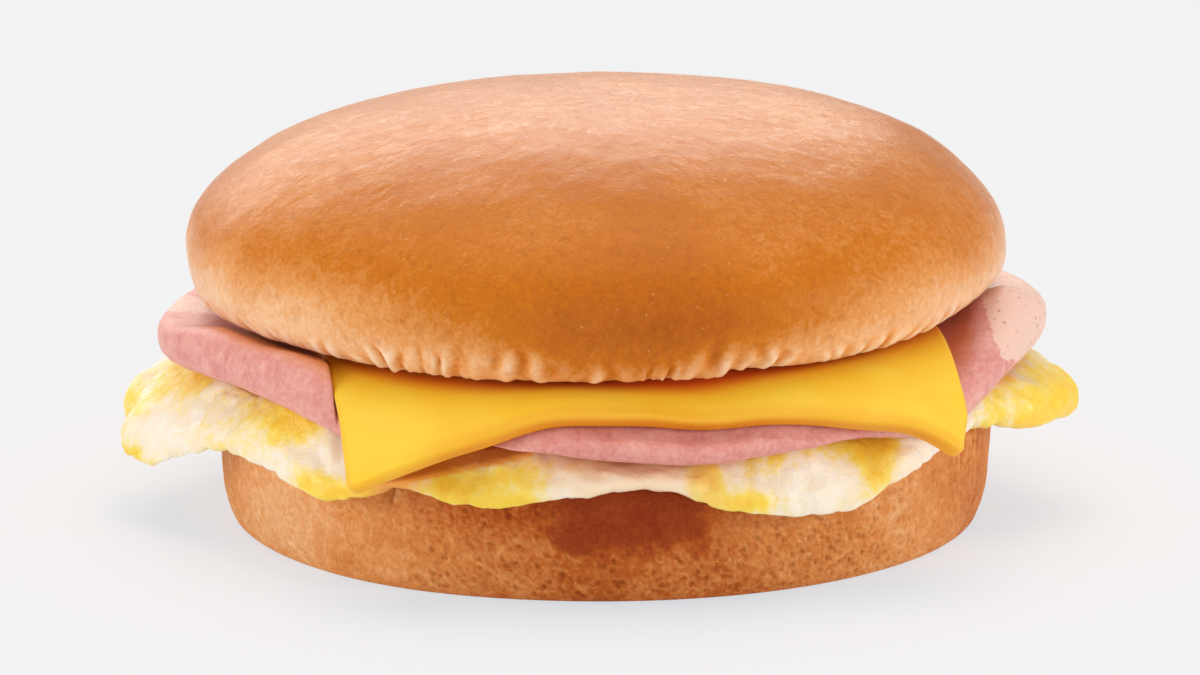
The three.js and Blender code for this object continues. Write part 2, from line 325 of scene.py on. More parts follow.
def ring_object(name, P, attrs, material, node):
    """Closed object from rings that go from the middle of the top to the middle of the underside."""
    rings, around = P.shape[:2]
    top = P[0].mean(0)
    bottom = P[-1].mean(0)
    verts = np.concatenate([P.reshape(-1, 3), [top, bottom]])
    j = np.arange(around)
    k = (j + 1) % around
    quads = []
    for i in range(rings - 1):
        quads.append(np.stack([i * around + j, (i + 1) * around + j, (i + 1) * around + k, i * around + k], -1))
    quads = np.concatenate(quads)
    n = rings * around
    tris = np.concatenate([
        np.stack([np.full(around, n), j, k], -1),
        np.stack([np.full(around, n + 1), (rings - 1) * around + k, (rings - 1) * around + j], -1)])
    flat = {}
    for key, a in attrs.items():
        flat[key] = np.concatenate([a.reshape(-1), [a[0].mean(), a[-1].mean()]])
    return make_object(name, verts, quads, tris, flat, material, node)


# ------------------------------------------------------------------ material helpers
class Nodes:
    def __init__(self, name):
        self.mat = bpy.data.materials.new(name)
        self.mat.use_nodes = True
        self.nt = self.mat.node_tree
        self.nt.nodes.clear()
        self.out = self.nt.nodes.new("ShaderNodeOutputMaterial")
        self.bsdf = self.nt.nodes.new("ShaderNodeBsdfPrincipled")
        self.nt.links.new(self.bsdf.outputs["BSDF"], self.out.inputs["Surface"])
        tc = self.nt.nodes.new("ShaderNodeTexCoord")
        mp = self.nt.nodes.new("ShaderNodeMapping")
        mp.inputs["Scale"].default_value = (1000, 1000, 1000)
        self.nt.links.new(tc.outputs["Object"], mp.inputs["Vector"])
        self.mm = mp.outputs["Vector"]  # place on the object, in millimetres

    def set(self, **kw):
        for k, v in kw.items():
            self.bsdf.inputs[k.replace("_", " ")].default_value = v

    def link(self, a, b):
        self.nt.links.new(a, b)

    def noise(self, size, detail=2.0, rough=0.5, distort=0.0, vec=None, seed=0.0):
        n = self.nt.nodes.new("ShaderNodeTexNoise")
        n.noise_dimensions = "4D" if seed else "3D"
        if seed:
            n.inputs["W"].default_value = seed
        n.inputs["Scale"].default_value = 1.0 / size
        n.inputs["Detail"].default_value = detail
        n.inputs["Roughness"].default_value = rough
        n.inputs["Distortion"].default_value = distort
        self.link(vec or self.mm, n.inputs["Vector"])
        return n.outputs["Fac"]

    def voronoi(self, size, feature="F1", vec=None, rand=1.0):
        n = self.nt.nodes.new("ShaderNodeTexVoronoi")
        n.feature = feature
        n.inputs["Scale"].default_value = 1.0 / size
        n.inputs["Randomness"].default_value = rand
        self.link(vec or self.mm, n.inputs["Vector"])
        return n.outputs["Distance"]

    def attr(self, name):
        n = self.nt.nodes.new("ShaderNodeAttribute")
        n.attribute_name = name
        return n.outputs["Fac"]

    def math(self, op, a, b=None, c=None, clamp=False):
        n = self.nt.nodes.new("ShaderNodeMath")
        n.operation = op
        n.use_clamp = clamp
        for i, v in enumerate((a, b, c)):
            if v is None:
                continue
            if isinstance(v, (int, float)):
                n.inputs[i].default_value = v
            else:
                self.link(v, n.inputs[i])
        return n.outputs[0]

    def span(self, v, lo, hi, a=0.0, b=1.0, smooth=True):
        n = self.nt.nodes.new("ShaderNodeMapRange")
        n.interpolation_type = "SMOOTHSTEP" if smooth else "LINEAR"
        n.inputs["From Min"].default_value = lo
        n.inputs["From Max"].default_value = hi
        n.inputs["To Min"].default_value = a
        n.inputs["To Max"].default_value = b
        self.link(v, n.inputs["Value"])
        return n.outputs["Result"]

    def ramp(self, v, stops):
        n = self.nt.nodes.new("ShaderNodeValToRGB")
        n.color_ramp.interpolation = "LINEAR"
        el = n.color_ramp.elements
        while len(el) < len(stops):
            el.new(0.5)
        for e, (pos, col) in zip(el, stops):
            e.position = pos
            e.color = (*srgb(col), 1.0)
        self.link(v, n.inputs["Fac"])
        return n.outputs["Color"]

    def mix(self, fac, a, b, mode="MIX"):
        n = self.nt.nodes.new("ShaderNodeMix")
        n.data_type = "RGBA"
        n.blend_type = mode
        for socket, v in ((n.inputs["Factor"], fac), (n.inputs["A"], a), (n.inputs["B"], b)):
            pass
        ins = [s for s in n.inputs if s.enabled]
        for s, v in zip(ins, (fac, a, b)):
            if isinstance(v, (int, float)):
                s.default_value = v
            elif isinstance(v, tuple):
                s.default_value = (*srgb(v), 1.0)
            else:
                self.link(v, s)
        return [s for s in n.outputs if s.enabled][0]

    def bump(self, height, distance_mm, strength=1.0, normal=None):
        n = self.nt.nodes.new("ShaderNodeBump")
        n.inputs["Strength"].default_value = strength
        n.inputs["Distance"].default_value = distance_mm * 0.001
        self.link(height, n.inputs["Height"])
        if normal is not None:
            self.link(normal, n.inputs["Normal"])
        return n.outputs["Normal"]


def srgb(c):
    """sRGB 0-255 to linear 0-1."""
    out = []
    for v in c[:3]:
        v = v / 255.0
        out.append(v / 12.92 if v <= 0.04045 else ((v + 0.055) / 1.055) ** 2.4)
    return tuple(out)


# ------------------------------------------------------------------ materials
def crust_material(name, stops, pores, rough, specks=0.5):
    m = Nodes(name)
    fine = m.noise(0.5, 3.0, 0.6)
    mid = m.noise(2.4, 3.0, 0.6, 1.6)
    broad = m.noise(15.0, 3.0, 0.5)
    b = m.attr("bake")
    b = m.math("ADD", b, m.span(fine, 0.25, 0.75, -0.07, 0.07, False))
    b = m.math("ADD", b, m.span(mid, 0.25, 0.75, -0.08, 0.08, False))
    b = m.math("ADD", b, m.span(broad, 0.25, 0.75, -0.05, 0.05, False), clamp=True)
    col = m.ramp(b, stops)
    rough_part = m.math("SUBTRACT", 1.0, m.attr("plain"), clamp=True)
    speck = m.math("MULTIPLY", m.span(m.noise(0.62, 1.0, 0.5, 0.0, seed=3.1), 0.70, 0.76), rough_part)
    col = m.mix(m.math("MULTIPLY", speck, specks), col, (248, 204, 150))
    # dark specks at random, and the pits darkened; on the heel these are its pores, so there the dark is a painted
    # shade in them
    dark = m.span(m.noise(0.7, 1.0, 0.5, 0.0, seed=8.4), 0.30, 0.24)
    dark = m.math("MAXIMUM", m.math("MULTIPLY", dark, 0.22), m.math("MULTIPLY", m.attr("pit"), pores))
    col = m.mix(dark, col, (112, 48, 14))
    m.link(col, m.bsdf.inputs["Base Color"])
    r = m.span(mid, 0.3, 0.7, rough - 0.05, rough + 0.07, False)
    m.link(r, m.bsdf.inputs["Roughness"])
    return m, m.math("MULTIPLY", fine, rough_part), m.math("MULTIPLY", mid, rough_part)


def crown_material():
    m, fine, mid = crust_material("bun_top_crust", [
        (0.0, (250, 220, 192)), (0.2, (243, 192, 146)), (0.42, (228, 154, 88)), (0.64, (204, 115, 28)),
        (0.82, (188, 99, 27)), (1.0, (168, 80, 20))], 0.5, 0.30, 0.22)
    m.set(IOR=1.28, Sheen_Weight=0.06, Sheen_Roughness=0.40)
    m.bsdf.inputs["Specular Tint"].default_value = (0.95, 0.79, 0.40, 1.0)
    m.bsdf.inputs["Sheen Tint"].default_value = (1.0, 0.88, 0.74, 1.0)
    crease = m.span(m.math("ABSOLUTE", m.math("SUBTRACT", m.noise(2.6, 3.0, 0.55, 0.9, seed=1.7), 0.5)), 0.0, 0.045)
    n = m.bump(crease, 0.016, 0.6)
    n = m.bump(mid, 0.045, 0.6, n)
    n = m.bump(m.span(m.voronoi(0.62), 0.0, 0.7), 0.018, 0.6, n)
    n = m.bump(fine, 0.04, 0.7, n)
    m.link(n, m.bsdf.inputs["Normal"])
    return m.mat


def heel_material():
    m, fine, mid = crust_material("bun_bottom_crust", [
        (0.0, (250, 216, 180)), (0.22, (242, 186, 134)), (0.46, (220, 142, 76)), (0.7, (186, 93, 32)),
        (0.86, (158, 66, 22)), (1.0, (142, 51, 15))], 0.36, 0.60, 0.2)
    m.set(IOR=1.2)
    grain = m.span(m.voronoi(0.7), 0.05, 0.62)
    n = m.bump(grain, 0.13, 0.8)
    n = m.bump(mid, 0.20, 0.6, n)
    n = m.bump(fine, 0.14, 0.8, n)
    m.link(n, m.bsdf.inputs["Normal"])
    return m.mat


def cheese_material():
    m = Nodes("processed_cheese")
    v = m.noise(9.0, 2.0, 0.5)
    col = m.mix(m.span(v, 0.3, 0.7), (252, 198, 44), (253, 208, 60))
    # painted shade: darker orange on the cut edge and near the crown, orange-brown close under the crown
    col = m.mix(m.math("MULTIPLY", m.attr("edge"), 0.75), col, (224, 130, 20))
    col = m.mix(m.attr("painted_crust_shade"), col, (214, 84, 18))
    m.link(col, m.bsdf.inputs["Base Color"])
    m.set(Roughness=0.5, IOR=1.36, Subsurface_Weight=0.25, Subsurface_Scale=0.0025)
    m.bsdf.inputs["Subsurface Radius"].default_value = (1.0, 0.55, 0.12)
    n = m.bump(m.noise(2.6, 2.0, 0.5), 0.05, 0.5)
    n = m.bump(m.noise(0.5, 1.0, 0.5), 0.015, 0.5, n)
    m.link(n, m.bsdf.inputs["Normal"])
    return m.mat


def ham_material():
    m = Nodes("cooked_ham")
    a = m.noise(2.4, 4.0, 0.65, 0.6)
    b = m.noise(8.0, 3.0, 0.5, 0.8, seed=5.0)
    c = m.noise(0.6, 2.0, 0.6)
    f = m.math("ADD", m.span(a, 0.3, 0.7, 0.0, 0.5, False), m.span(b, 0.3, 0.7, 0.0, 0.35, False))
    f = m.math("ADD", f, m.span(c, 0.25, 0.75, -0.20, 0.20, False), clamp=True)
    col = m.ramp(f, [(0.0, (208, 124, 116)), (0.35, (223, 149, 139)), (0.65, (231, 166, 154)), (1.0, (243, 194, 182))])
    # painted light: a lighter colour on the faces that catch the light, broken up into specks where it begins
    p = m.math("ADD", m.attr("painted_top_light"), m.span(c, 0.3, 0.7, -0.28, 0.28, False))
    p = m.math("ADD", p, m.span(a, 0.3, 0.7, -0.10, 0.10, False))
    p = m.math("MULTIPLY", m.span(p, 0.34, 0.58), 0.86)
    col = m.mix(p, col, (241, 203, 184))
    pore = m.math("MULTIPLY", m.span(m.voronoi(1.15), 0.27, 0.14), m.span(m.attr("painted_top_light"), 0.1, 0.5))
    pore = m.math("MULTIPLY", pore, m.span(m.noise(3.0, 2.0, 0.5, seed=7.7), 0.42, 0.56))
    col = m.mix(m.math("MULTIPLY", pore, 0.75), col, (196, 118, 106))
    # painted shade, brown, close under the crust; at the left a lighter orange painted shade
    col = m.mix(m.math("MULTIPLY", m.attr("painted_crust_shade"), 0.85), col, (206, 114, 68))
    col = m.mix(m.math("MULTIPLY", m.attr("painted_crust_shade_left"), 0.92), col, (252, 170, 104))
    m.link(col, m.bsdf.inputs["Base Color"])
    m.set(Roughness=0.42, IOR=1.33, Subsurface_Weight=0.2, Subsurface_Scale=0.002)
    m.bsdf.inputs["Subsurface Radius"].default_value = (1.0, 0.4, 0.3)
    n = m.bump(a, 0.20, 0.6)
    n = m.bump(c, 0.10, 0.6, n)
    m.link(n, m.bsdf.inputs["Normal"])
    return m.mat


def egg_material():
    m = Nodes("cooked_egg")
    warp = m.noise(3.4, 3.0, 0.55, 1.2, seed=2.0)
    y = m.math("ADD", m.attr("yolk"), m.span(warp, 0.3, 0.7, -0.20, 0.20, False))
    y = m.math("ADD", y, m.span(m.noise(0.9, 2.0, 0.5), 0.3, 0.7, -0.10, 0.10, False), clamp=True)
    col = m.ramp(y, [(0.0, (250, 234, 214)), (0.30, (250, 229, 194)), (0.48, (251, 224, 152)),
                     (0.66, (252, 218, 96)), (0.84, (253, 211, 70)), (1.0, (253, 204, 60))])
    # painted shade: pinkish-orange in the middle, orange-brown under the slices
    col = m.mix(m.math("MULTIPLY", m.attr("painted_middle_shade"), 0.8), col, (255, 214, 178))
    col = m.mix(m.span(m.attr("painted_slice_shade"), 0.0, 0.5, 0.0, 0.88), col, (233, 150, 46))
    col = m.mix(m.span(m.attr("painted_slice_shade"), 0.5, 1.0, 0.0, 0.9), col, (186, 98, 28))
    m.link(col, m.bsdf.inputs["Base Color"])
    m.set(Roughness=0.34, IOR=1.4, Subsurface_Weight=0.4, Subsurface_Scale=0.003)
    m.bsdf.inputs["Subsurface Radius"].default_value = (1.0, 0.7, 0.35)
    n = m.bump(m.noise(1.8, 4.0, 0.6, 0.8), 0.45, 0.6)
    n = m.bump(m.noise(0.5, 2.0, 0.5), 0.08, 0.6, n)
    m.link(n, m.bsdf.inputs["Normal"])
    return m.mat


# ------------------------------------------------------------------ crown
def pleats(T, z, rng, groups, foot, radius):
    """Depth of short upright folds in a rim, how far they reach up, and a painted shade in their grooves with a
    painted highlight on their ridges.
    """
    depth = np.zeros_like(z)
    painted_fold_shade = np.zeros_like(z)
    for lo, hi, count, deep, tall in groups:
        for i in range(count):
            at = lo + (hi - lo) * (i + rng.uniform(0.0, 1.0)) / count
            w = rng.uniform(0.30, 1.05)                      # half width, mm
            a = deep * rng.uniform(0.15, 1.0) ** 0.8
            h = tall * rng.uniform(0.5, 1.0)
            lean = rng.uniform(-0.35, 0.35)
            d = np.arctan2(np.sin(T - math.radians(at)), np.cos(T - math.radians(at))) * radius
            d = d - lean * (z - foot) - 0.25 * np.sin((z - foot) * rng.uniform(0.8, 1.6) + rng.uniform(0, 6))
            up = ease((z - foot + 0.8) / 0.8) * (1 - ease((z - foot - 0.35 * h) / (0.65 * h)))
            groove = np.exp(-(d / w) ** 2) * up
            ridge = (np.exp(-((d - 1.9 * w) / (1.1 * w)) ** 2) + np.exp(-((d + 1.9 * w) / (1.1 * w)) ** 2)) * up
            depth = depth + a * (0.75 * groove - 0.55 * ridge)
            painted_fold_shade = painted_fold_shade + a / max(deep, 1e-6) * (0.7 * groove - 0.75 * ridge)
    return depth, painted_fold_shade


def build_crown():
    around = 780
    k = 1.0
    c = CROWN
    th = np.linspace(0, 2 * np.pi, around, endpoint=False)[None, :]
    a = np.linspace(0.02, 1, int(84 * k))[:, None] ** 0.9 * math.pi / 2
    r1 = crown_radius(th) * np.sin(a) ** (2 / c["square"])
    z1 = c["equator"] + (c["top"] - c["equator"]) * np.cos(a) ** (2 / c["square"]) + 0 * th
    b = np.linspace(0, 1, int(34 * k) + 1)[1:, None] * math.pi / 2
    r2 = crown_radius(th) - (c["radius"] - c["rim"]) * (1 - np.cos(b))
    z2 = c["equator"] - (c["equator"] - c["base"]) * np.sin(b) + 0 * th
    f = np.linspace(1, 0.02, int(8 * k) + 1)[1:, None]
    r3 = f * (c["rim"] + 0 * th)
    z3 = c["base"] + 0 * r3
    r = np.concatenate([r1, r2, r3])
    z = np.concatenate([z1, z2, z3])
    lean = np.concatenate([c["dome_tilt"] + 0 * z1, c["dome_tilt"] + (c["tilt"] - c["dome_tilt"]) * (np.sin(b) + 0 * z2),
                           c["tilt"] + 0 * z3])
    T = np.broadcast_to(th, r.shape)
    x = c["x"] + r * np.cos(T)
    y = c["y"] + r * np.sin(T)
    P = np.stack([x, y, z + lean * x], -1)
    N = grid_normals(P)
    N = np.where(N[0, :, 2:3].mean() < 0, -N, N)
    under = ease((28.9 - z) / 0.5)                    # 1 on the cut face
    d = 0.42 * fbm(P, 34.0, 3, 11) + 0.10 * fbm(P, 9.0, 2, 5)
    d = d - 0.5 * bump(T, 182, 26) * np.exp(-((z - 32.5) / 3.0) ** 2)
    # fine creases of the thin crust, deepest over the top
    high = ease((z - 40.0) / 6.0)
    web = np.abs(fbm(P, 4.6, 3, 31))
    d = d - (0.02 + 0.02 * high) * np.clip(0.12 - web, 0, 1) / 0.12 * ease((z - 31.0) / 4.0)
    d = d + (0.03 + 0.012 * high) * fbm(P, 2.3, 2, 33)
    # the dome stands a little higher right of the middle, and falls away sooner at both ends
    d = d + 0.5 * np.exp(-((P[..., 0] - 27) ** 2 + (P[..., 1] - 12) ** 2) / 340.0) * ease((z - 36) / 5)
    d = d - 0.45 * bump(T, 8, 15) * np.exp(-((z - 42.0) / 3.6) ** 2) - 0.3 * bump(T, 174, 15) * np.exp(-((z - 45.0) / 3.0) ** 2)
    # short pleats along the lower edge
    rng = np.random.default_rng(27)
    folds, painted_fold_shade = pleats(T, z, rng, [
        (237, 262, 12, 0.62, 7.2), (263, 281, 7, 0.42, 4.6), (281, 297, 7, 0.66, 6.4), (297, 325, 9, 0.22, 4.0),
        (206, 237, 8, 0.16, 4.0), (325, 566, 50, 0.30, 5.0)], 28.6, 49.5)
    d = d - folds
    # crumb of the cut face
    first = z.shape[0] - r3.shape[0]
    crumb = cells(P[first:], 1.9, 7)
    full = np.zeros_like(z)
    full[first:] = -0.5 * np.clip(0.55 - crumb, 0, 1)
    d = d * (1 - under) + full
    P = P + N * d[..., None]
    # the lower edge isn't quite level, and lifts off the cheese right of the middle
    edge = ease((31.5 - z) / 3.0) * ease((r - 41) / 6)
    ring = np.stack([np.cos(T) * 9, np.sin(T) * 9, 0 * T], -1)
    deg = np.degrees(T)
    notch = 0.5 * ease((deg - 288.2) / 1.6) * (1 - ease((deg - 292) / 12)) - 0.3 * bump(T, 286.8, 1.8)
    P[..., 2] += edge * (notch + 0.22 * noise(ring, 4) + 0.12 * noise(ring * 3.1, 5))
    P[..., 2] += crown_lift(T) * ease((33.6 - z) / 5.2) * ease((r - 41) / 6)
    # browning
    line = 36.8 - 7.3 * bump(T, 277, 23) + 1.2 * fbm(P, 11.0, 2, 78)
    low = 1 - ease((z - line + 4.8) / 9.6)
    front = bump(T, 277, 21) * np.exp(-((z - 35.5) / 4.6) ** 2)
    bake = 0.63 - 0.40 * low * (1 - 0.48 * bump(T, 266, 27) - 0.15 * bump(T, 314, 12)) - 0.01 * bump(T, 325, 22) + 0.17 * front + 0.06 * bump(T, 276, 32) + 0.05 * fbm(P, 14.0, 2, 77)
    bake = bake - 0.05 * bump(T, 316, 16) * np.exp(-((z - 41.5) / 4.0) ** 2) - 0.06 * ease((30.6 - z) / 1.4) * bump(T, 277, 26)
    # painted shade in the pleat grooves and painted highlight on their ridges
    bake = bake + 0.34 * np.clip(painted_fold_shade, -1, 1.3)
    bake = bake * (1 - under) + 0.06 * under
    tiny = np.clip(0.30 - cells(P, 2.3, 41), 0, 1) / 0.30 * (1 - under)
    ring_object("crown_bun", P, {"bake": np.clip(bake, 0.02, 1), "pit": tiny * 0.5, "plain": 0 * z},
                crown_material(), "crown")


# ------------------------------------------------------------------ heel
def build_heel():
    around = 760
    k = 1.0
    h = HEEL
    th = np.linspace(0, 2 * np.pi, around, endpoint=False)[None, :]
    R = heel_radius(th)
    f = np.linspace(0.02, 1, int(14 * k))[:, None]
    r0 = f * (R - h["lip"])
    z0 = h["height"] + 0 * r0
    a = np.linspace(0, 1, 6)[1:, None] * math.pi / 2
    r1 = R - h["lip"] * (1 - np.sin(a))
    z1 = h["height"] - h["lip"] * (1 - np.cos(a)) + 0 * th
    g = np.linspace(0, 1, int(18 * k) + 1)[1:, None]
    r2 = R - 0.25 * g
    z2 = h["height"] - h["lip"] - g * (h["height"] - h["lip"] - h["rise"]) + 0 * th
    b = np.linspace(0, 1, int(34 * k) + 1)[1:, None] * math.pi / 2
    r3 = R - 0.25 - h["foot"] * (1 - np.cos(b))
    z3 = h["rise"] * (1 - np.sin(b)) + 0 * th
    q = np.linspace(1, 0.02, int(12 * k) + 1)[1:, None]
    r4 = q * (R - 0.25 - h["foot"])
    z4 = 0 * r4
    r = np.concatenate([r0, r1, r2, r3, r4])
    z = np.concatenate([z0, z1, z2, z3, z4])
    T = np.broadcast_to(th, r.shape)
    P = np.stack([h["x"] + r * np.cos(T), h["y"] + r * np.sin(T), z], -1)
    N = grid_normals(P)
    N = np.where(N[0, :, 2:3].mean() < 0, -N, N)
    side = ease((r - 40) / 5) * ease(z / 1.5)
    d = 0.35 * fbm(P, 22.0, 3, 3) + 0.16 * fbm(P, 5.0, 3, 9)
    # pressed smooth in an arch under the egg, and painted darker there as shade cast by the egg
    deg = np.degrees(T)
    off = np.abs(deg - 273.6) + 2.2 * fbm(P, 2.6, 2, 23)
    smooth = ease((14.0 - off) / 5.0) * ease((z - 5.6 + 1.5 * fbm(P, 2.0, 2, 24)) / 3.0)
    # open pores, most of them in front and few at the sides, where the crust is smoother
    porous = 0.25 + 0.75 * (ease((deg - 236) / 12) * (1 - ease((deg - 312) / 14)) + bump(T, 70, 40) + bump(T, 150, 25))
    mask = ease((fbm(P, 9.0, 2, 21) + 0.65) / 0.6) * (1 - 0.95 * smooth) * np.clip(porous, 0, 1)
    near = cells(P, 1.18, 5)
    pit = ease((0.37 - near) / 0.22) * mask
    brim = np.exp(-((near - 0.52) / 0.12) ** 2) * mask
    pit2 = ease((0.46 - cells(P, 0.86, 15)) / 0.36) * (1 - 0.95 * smooth) * (0.35 + 0.65 * np.clip(porous, 0, 1))
    d = d - 0.24 * pit + 0.05 * brim - 0.14 * pit2
    rng = np.random.default_rng(5)
    folds, painted_fold_shade = pleats(T, 20.0 - z, rng, [
        (236.5, 241.5, 3, 0.9, 8.0), (331, 346, 9, 0.30, 10.0), (250, 262, 4, 0.2, 6.0), (200, 226, 6, 0.15, 6.0),
        (344, 566, 34, 0.18, 7.0)], 5.0, 49.2)
    d = d - folds
    d = d * side
    P = P + N * d[..., None]
    P[..., 2] = np.maximum(P[..., 2], 0.0)
    swell = 0.6 * bump(T, 235, 20) * (1 - ease(z / 7.0)) * ease((r - 30) / 10)
    P[..., 0] += swell * np.cos(T)
    P[..., 1] += swell * np.sin(T)
    inside = ease((z - 14.2) / 0.4) * ease((48.0 - r) / 0.6)
    # crust colour on random tone: darker in front, partly browning and partly painted shade under the overhanging
    # slices; painted shade in the arch under the egg; lighter at the left as painted light
    bake = 0.54 + 0.08 * fbm(P, 12.0, 3, 40) + 0.13 * bump(T, 275, 26) + 0.25 * smooth - 0.15 * bump(T, 208, 30) + 0.03 * bump(T, 243, 9)
    # painted shade in bands just under the egg, and darker low in front
    bake = bake + 0.17 * ease((z - 8.0) / 3.5) * bump(T, 263, 22) * (1 - smooth)
    bake = bake + 0.10 * bump(T, 254, 10) * np.exp(-((z - 9.5) / 3.5) ** 2) + 0.06 * bump(T, 270, 14) * (1 - ease((z - 3) / 4))
    # lighter at the right as painted light; painted shade in the fold grooves and painted highlight on their ridges
    bake = bake - 0.09 * bump(T, 322, 18) + 0.06 * bump(T, 343, 12) + 0.06 * ease((2.0 - z) / 2.0) + 0.14 * np.clip(painted_fold_shade, -1, 1.2) * side
    # painted highlight on the pore rims
    bake = bake - 0.08 * ease((cells(P, 1.2, 25) - 0.60) / 0.3) * (1 - smooth) - 0.11 * brim
    bake = bake * (1 - inside) + 0.05 * inside
    # the pit attribute paints shade into the pores
    ring_object("heel_bun", P, {"bake": np.clip(bake, 0.02, 1), "plain": smooth * side,
                                "pit": np.clip(pit * 0.95 + pit2 * 0.40, 0, 1) * side},
                heel_material(), "heel")


# ------------------------------------------------------------------ egg and ham
def slab_grid(radius, top, bottom, edge, around, inner, zone, rim, square=1.0, dense=()):
    # the columns stand closer together at the places named in dense
    fine = np.linspace(0, 2 * np.pi, 7201)
    count = np.concatenate([[0], np.cumsum(np.ones(7200) + lobes((fine[1:] + fine[:-1]) / 2, dense))])
    th = np.interp(np.linspace(0, count[-1], around, endpoint=False), count, fine)[None, :]
    R = radius(th)
    if callable(edge):
        edge = edge(th)
    rows = []
    for f in np.linspace(0.02, 1, inner):
        rows.append(46.0 * f + 0 * R)
    for f in np.linspace(0, 1, zone + 1)[1:]:
        rows.append(46.0 + f * (R - edge - 46.0))
    r_top = np.concatenate(rows)
    phi = np.linspace(90, -90, rim + 2)[1:-1, None] * math.pi / 180
    r_rim = R - edge + edge * np.cos(phi) ** square
    T = np.broadcast_to(th, r_top.shape)
    z_top = top(r_top, T)
    Tr = np.broadcast_to(th, r_rim.shape)
    hi, lo = top(r_rim, Tr), bottom(r_rim, Tr)
    z_rim = (hi + lo) / 2 + (hi - lo) / 2 * np.sign(phi) * np.abs(np.sin(phi)) ** square
    r_bot = r_top[::-1]
    z_bot = bottom(r_bot, T)
    r = np.concatenate([r_top, r_rim, r_bot])
    z = np.concatenate([z_top, z_rim, z_bot])
    T = np.broadcast_to(th, r.shape)
    P = np.stack([r * np.cos(T), r * np.sin(T), z], -1)
    return P, r, T, R


def build_egg():
    around = 760
    k = 1.0
    P, r, T, R = slab_grid(egg_radius, egg_top, egg_bottom, EGG["edge"], around, int(8 * k), int(30 * k), int(24 * k))
    N = grid_normals(P)
    N = np.where(N[0, :, 2:3].mean() < 0, -N, N)
    outer = ease((r - 46.5) / 4.0)
    bend = np.stack([fbm(P, 9.0, 2, 101), fbm(P, 9.0, 2, 102), fbm(P, 9.0, 2, 103)], -1)
    W = P + 3.0 * bend
    lump = billow(W, 9.5, 2, 5)
    curd = billow(W, 4.4, 2, 15)
    calm = 1 - 0.45 * bump(T, 352, 22) - 0.35 * bump(T, 300, 16)
    d = outer * calm * (2.1 * (lump - 0.30) + 0.5 * (curd - 0.28) + 0.08 * fbm(P, 1.6, 2, 25))
    P = P + N * d[..., None]
    # ruffled outline
    ruffle = outer * (0.45 * fbm(P, 9.0, 2, 55) + 0.10 * fbm(P, 2.6, 2, 56))
    P[..., 0] += ruffle * np.cos(T)
    P[..., 1] += ruffle * np.sin(T)
    z = P[..., 2]
    # placed patches in front and at the sides, scattered ones behind
    back = 0.55 + 0.45 * ease((np.cos(T - math.radians(95)) + 0.2) / 0.5)
    yolk = 0.32 + 0.52 * back * fbm(P + 4.0 * bend, 8.0, 3, 91) + 0.25 * np.clip(0.22 - lump, 0, 1)
    spots = [  # angle, height, angular width, height width, strength: + yolk, - white
        (187, 8.4, 7, 1.5, 0.7), (184, 16.5, 4, 3, 0.6), (179, 12.5, 4, 2.2, 0.55), (193, 19.4, 5, 1.5, 0.8), (199, 13.5, 8, 2.6, -0.3),
        (190, 12.5, 6, 2.0, -0.2), (209, 13.0, 4, 1.6, 0.4), (212, 17, 3, 4, 0.2), (222.5, 19.9, 5, 2.4, 0.95),
        (230, 16.6, 5.5, 1.9, -0.5), (233, 12.6, 7, 1.9, 0.85), (219, 13.5, 5, 2.5, -0.2),
        (250.5, 15.2, 5.2, 2.8, 0.75), (259.5, 13.4, 4.5, 1.5, 0.85), (259, 17.4, 5, 1.9, 0.45),
        (266, 16, 3.5, 3, -0.2), (276, 15.5, 7, 3, -0.3), (284.2, 16.0, 2.5, 3.2, 0.9), (289.5, 13.4, 4.6, 1.4, 0.9),
        (300, 14.5, 7.5, 3.4, -0.6), (311, 17.9, 6, 1.8, 0.8), (311, 15.2, 2.6, 2.3, 0.75), (298, 18.2, 7, 1.2, 0.3),
        (321, 14.5, 3.5, 2.8, -0.5), (335, 12.5, 4, 2.5, -0.4), (352, 13.4, 11, 3.0, 1.0), (350, 18.0, 10, 2.6, 0.5),
        (10, 15, 10, 4, 0.3)]
    for at, zz, w, wz, s in spots:
        yolk = yolk + s * bump(T, at, w) * np.exp(-((z - zz) / wz) ** 2)
    # painted shade in orange-brown where it lies under the cheese and ham left of the middle, under the ham in front
    # and at the right, and a pinkish-orange painted shade in the middle under the ham
    deg = np.degrees(T)
    line = 16.1 + 0.24 * (deg - 248)
    painted_wedge_shade = ease((deg - 236) / 5) * (1 - ease((deg - 259.5) / 3)) * ease((z - line) / 1.3)
    painted_slice_shade = np.maximum(0.5 * bump(T, 241.5, 4.2) * ease((z - 9.0) / 2.0), painted_wedge_shade)
    painted_slice_shade = np.maximum(painted_slice_shade, 0.20 * ease((deg - 254) / 6) * (1 - ease((deg - 286) / 8)) * ease((z - 17.0) / 1.6))
    painted_slice_shade = np.maximum(painted_slice_shade, 0.25 * ease((deg - 336) / 6) * ease((z - 19.3) / 1.2))
    painted_middle_shade = bump(T, 275, 8.5)
    ring_object("egg_fold", P, {"yolk": np.clip(yolk, 0, 1), "painted_slice_shade": np.clip(painted_slice_shade * outer, 0, 1), "painted_middle_shade": painted_middle_shade * outer},
                egg_material(), "egg")


